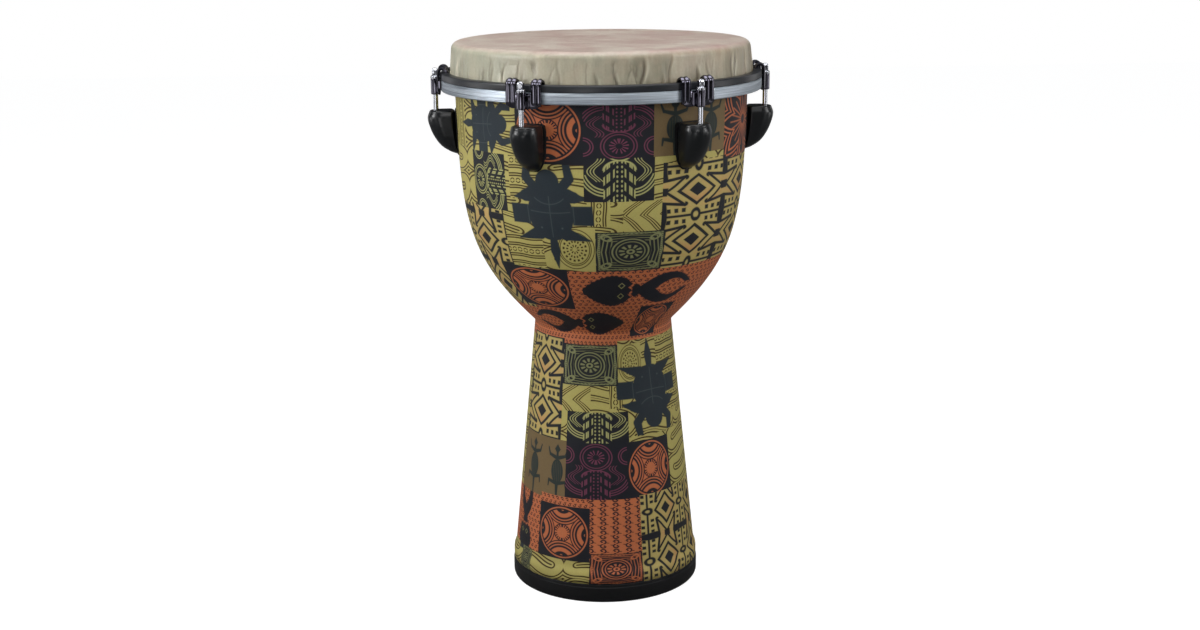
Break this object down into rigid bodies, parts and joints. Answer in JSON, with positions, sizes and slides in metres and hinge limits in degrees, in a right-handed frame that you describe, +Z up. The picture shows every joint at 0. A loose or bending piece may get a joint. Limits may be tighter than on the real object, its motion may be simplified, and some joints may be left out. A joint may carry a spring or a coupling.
{
  "type": "djembe",
  "caption": "Goblet-shaped hand drum with a printed fabric shell, rubber foot ring, synthetic head, claw-hook tension rods and teardrop shell lugs.",
  "frame": {"origin": "centre of the foot ring's underside, on the floor", "axes": "+Z up along the drum's axis; +X through the first tuning station, so two stations face the player's side at -Y; right-handed"},
  "size_m": [0.3784, 0.348, 0.61],
  "materials": {
    "fibre_shell": "raw resin-bonded fibre, matte",
    "inner_ring": "raw plywood, matte",
    "printed_fabric": "printed woven cloth under a thin satin coat",
    "foot_rubber": "matte moulded rubber",
    "head_film": "coated film with a skin-like mottled print, satin",
    "brushed_aluminium": "brushed round the ring",
    "bond_resin": "cast resin",
    "hoop_black": "satin black powder coat",
    "claw_chrome": "black nickel plate, polished",
    "rod_chrome": "bright chrome",
    "lug_black": "satin black",
    "gasket_rubber": "matte",
    "brass_insert": "turned",
    "screw_steel": "zinc plated"
  },
  "bodies": {
    "shell": {"bowl_shell": "fibre_shell", "stem_shell": "fibre_shell", "waist_ring": "inner_ring", "printed_sleeve": "printed_fabric", "foot_ring": "foot_rubber", "lug_1": "lug_black", "lug_2": "lug_black", "lug_3": "lug_black", "lug_4": "lug_black", "lug_5": "lug_black", "lug_6": "lug_black", "lug_gasket_1": "gasket_rubber", "lug_gasket_2": "gasket_rubber", "lug_gasket_3": "gasket_rubber", "lug_gasket_4": "gasket_rubber", "lug_gasket_5": "gasket_rubber", "lug_gasket_6": "gasket_rubber", "lug_insert_1": "brass_insert", "lug_insert_2": "brass_insert", "lug_insert_3": "brass_insert", "lug_insert_4": "brass_insert", "lug_insert_5": "brass_insert", "lug_insert_6": "brass_insert", "lug_screws": "screw_steel", "screw_washers": "screw_steel"},
    "head": {"drumhead_film": "head_film", "flesh_hoop": "brushed_aluminium", "film_bond": "bond_resin", "counterhoop": "hoop_black", "claw_1": "claw_chrome", "claw_2": "claw_chrome", "claw_3": "claw_chrome", "claw_4": "claw_chrome", "claw_5": "claw_chrome", "claw_6": "claw_chrome", "rod_washer_1": "rod_chrome", "rod_washer_2": "rod_chrome", "rod_washer_3": "rod_chrome", "rod_washer_4": "rod_chrome", "rod_washer_5": "rod_chrome", "rod_washer_6": "rod_chrome"},
    "rod_1": {"tension_rod_1": "rod_chrome"},
    "rod_2": {"tension_rod_2": "rod_chrome"},
    "rod_3": {"tension_rod_3": "rod_chrome"},
    "rod_4": {"tension_rod_4": "rod_chrome"},
    "rod_5": {"tension_rod_5": "rod_chrome"},
    "rod_6": {"tension_rod_6": "rod_chrome"}
  },
  "joints": [
    {"name": "head_lift", "type": "slide", "parent": "shell", "child": "head", "axis": [0, 0, 1], "range_m": [0, 0.008]},
    {"name": "rod_turn_1", "type": "hinge", "parent": "head", "child": "rod_1", "pos_m": [0.18, 0, 0.55], "axis": [0, 0, 1], "range_deg": [0, 2718]},
    {"name": "rod_turn_2", "type": "hinge", "parent": "head", "child": "rod_2", "pos_m": [0.09, 0.15588, 0.55], "axis": [0, 0, 1], "range_deg": [0, 2718]},
    {"name": "rod_turn_3", "type": "hinge", "parent": "head", "child": "rod_3", "pos_m": [-0.09, 0.15588, 0.55], "axis": [0, 0, 1], "range_deg": [0, 2718]},
    {"name": "rod_turn_4", "type": "hinge", "parent": "head", "child": "rod_4", "pos_m": [-0.18, 0, 0.55], "axis": [0, 0, 1], "range_deg": [0, 2718]},
    {"name": "rod_turn_5", "type": "hinge", "parent": "head", "child": "rod_5", "pos_m": [-0.09, -0.15588, 0.55], "axis": [0, 0, 1], "range_deg": [0, 2718]},
    {"name": "rod_turn_6", "type": "hinge", "parent": "head", "child": "rod_6", "pos_m": [0.09, -0.15588, 0.55], "axis": [0, 0, 1], "range_deg": [0, 2718]}
  ],
  "couplings": [
    {"joint": "rod_turn_1", "follows": "head_lift", "rad_per_m": 5927.5},
    {"joint": "rod_turn_2", "follows": "head_lift", "rad_per_m": 5927.5},
    {"joint": "rod_turn_3", "follows": "head_lift", "rad_per_m": 5927.5},
    {"joint": "rod_turn_4", "follows": "head_lift", "rad_per_m": 5927.5},
    {"joint": "rod_turn_5", "follows": "head_lift", "rad_per_m": 5927.5},
    {"joint": "rod_turn_6", "follows": "head_lift", "rad_per_m": 5927.5}
  ]
}
